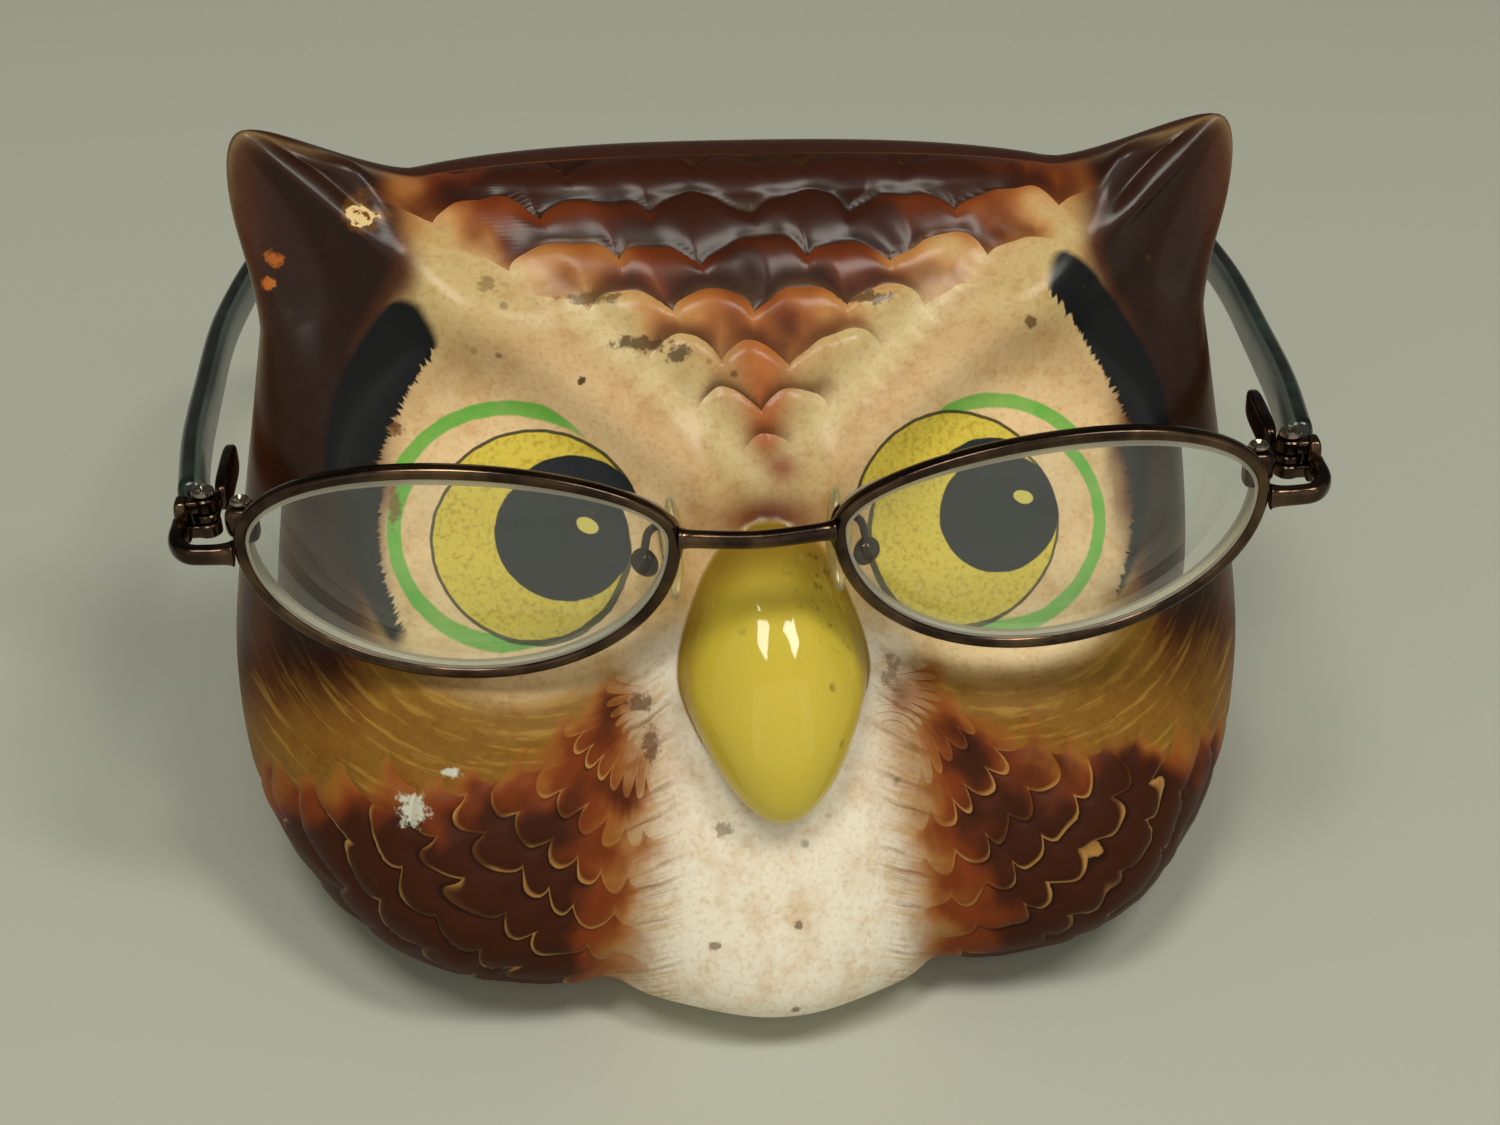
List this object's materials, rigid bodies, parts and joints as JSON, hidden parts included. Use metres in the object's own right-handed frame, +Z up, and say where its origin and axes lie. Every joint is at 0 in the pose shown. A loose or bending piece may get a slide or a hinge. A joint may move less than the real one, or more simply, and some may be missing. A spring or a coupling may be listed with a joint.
{
  "type": "owl spectacle-stand figurine",
  "caption": "Hollow glazed ceramic owl head that stands on a table and wears wire-rimmed spectacles with hinged temples.",
  "frame": {"origin": "on the flat foot, under the middle of the owl's base", "axes": "+Z up, the owl looks along -Y, +X to the right of someone facing the owl"},
  "size_m": [0.1387, 0.1591, 0.0861],
  "materials": {
    "glazed_ceramic": "airbrushed brown, ochre and cream underglaze paint beneath a clear, glossy glaze",
    "frame_metal": "polished gunmetal-bronze plating",
    "screw_steel": "turned and polished",
    "lens": "clear, polished, minus power",
    "temple_acetate": "polished dark green-black acetate, grey on the inner side",
    "pad_silicone": "clear soft plastic, slightly yellowed"
  },
  "bodies": {
    "owl": {"owl_head": "glazed_ceramic"},
    "spectacles": {"bridge": "frame_metal", "rim_left": "frame_metal", "rim_right": "frame_metal", "lens_left": "lens", "lens_right": "lens", "closing_block_left": "frame_metal", "closing_block_right": "frame_metal", "closing_screw_left": "screw_steel", "closing_screw_right": "screw_steel", "pad_arm_left": "frame_metal", "pad_arm_right": "frame_metal", "pad_box_left": "frame_metal", "pad_box_right": "frame_metal", "end_piece_left": "frame_metal", "end_piece_right": "frame_metal", "front_knuckle_left": "frame_metal", "front_knuckle_right": "frame_metal", "hinge_screw_left": "screw_steel", "hinge_screw_right": "screw_steel"},
    "temple_arm_left": {"temple_left": "temple_acetate", "core_wire_left": "screw_steel", "spring_box_left": "frame_metal"},
    "pad_left": {"nose_pad_left": "pad_silicone"},
    "temple_arm_right": {"temple_right": "temple_acetate", "core_wire_right": "screw_steel", "spring_box_right": "frame_metal"},
    "pad_right": {"nose_pad_right": "pad_silicone"}
  },
  "joints": [
    {"name": "lift_off", "type": "slide", "parent": "owl", "child": "spectacles", "axis": [0, 0, 1], "range_m": [0, 0.11]},
    {"name": "temple_hinge_left", "type": "hinge", "parent": "spectacles", "child": "temple_arm_left", "pos_m": [-0.06223, -0.01446, 0.05465], "axis": [0.0654, -0.0522, -0.9965], "range_deg": [-12, 6]},
    {"name": "temple_hinge_right", "type": "hinge", "parent": "spectacles", "child": "temple_arm_right", "pos_m": [0.0577, -0.02269, 0.06295], "axis": [-0.0654, 0.0522, 0.9965], "range_deg": [-12, 6]},
    {"name": "pad_rock_left", "type": "hinge", "parent": "spectacles", "child": "pad_left", "pos_m": [-0.01362, -0.02239, 0.05223], "axis": [0.0717, 0.9963, -0.0475], "range_deg": [-3, 3]},
    {"name": "pad_rock_right", "type": "hinge", "parent": "spectacles", "child": "pad_right", "pos_m": [0.00927, -0.02396, 0.05382], "axis": [0.0717, 0.9963, -0.0475], "range_deg": [-3, 3]}
  ]
}
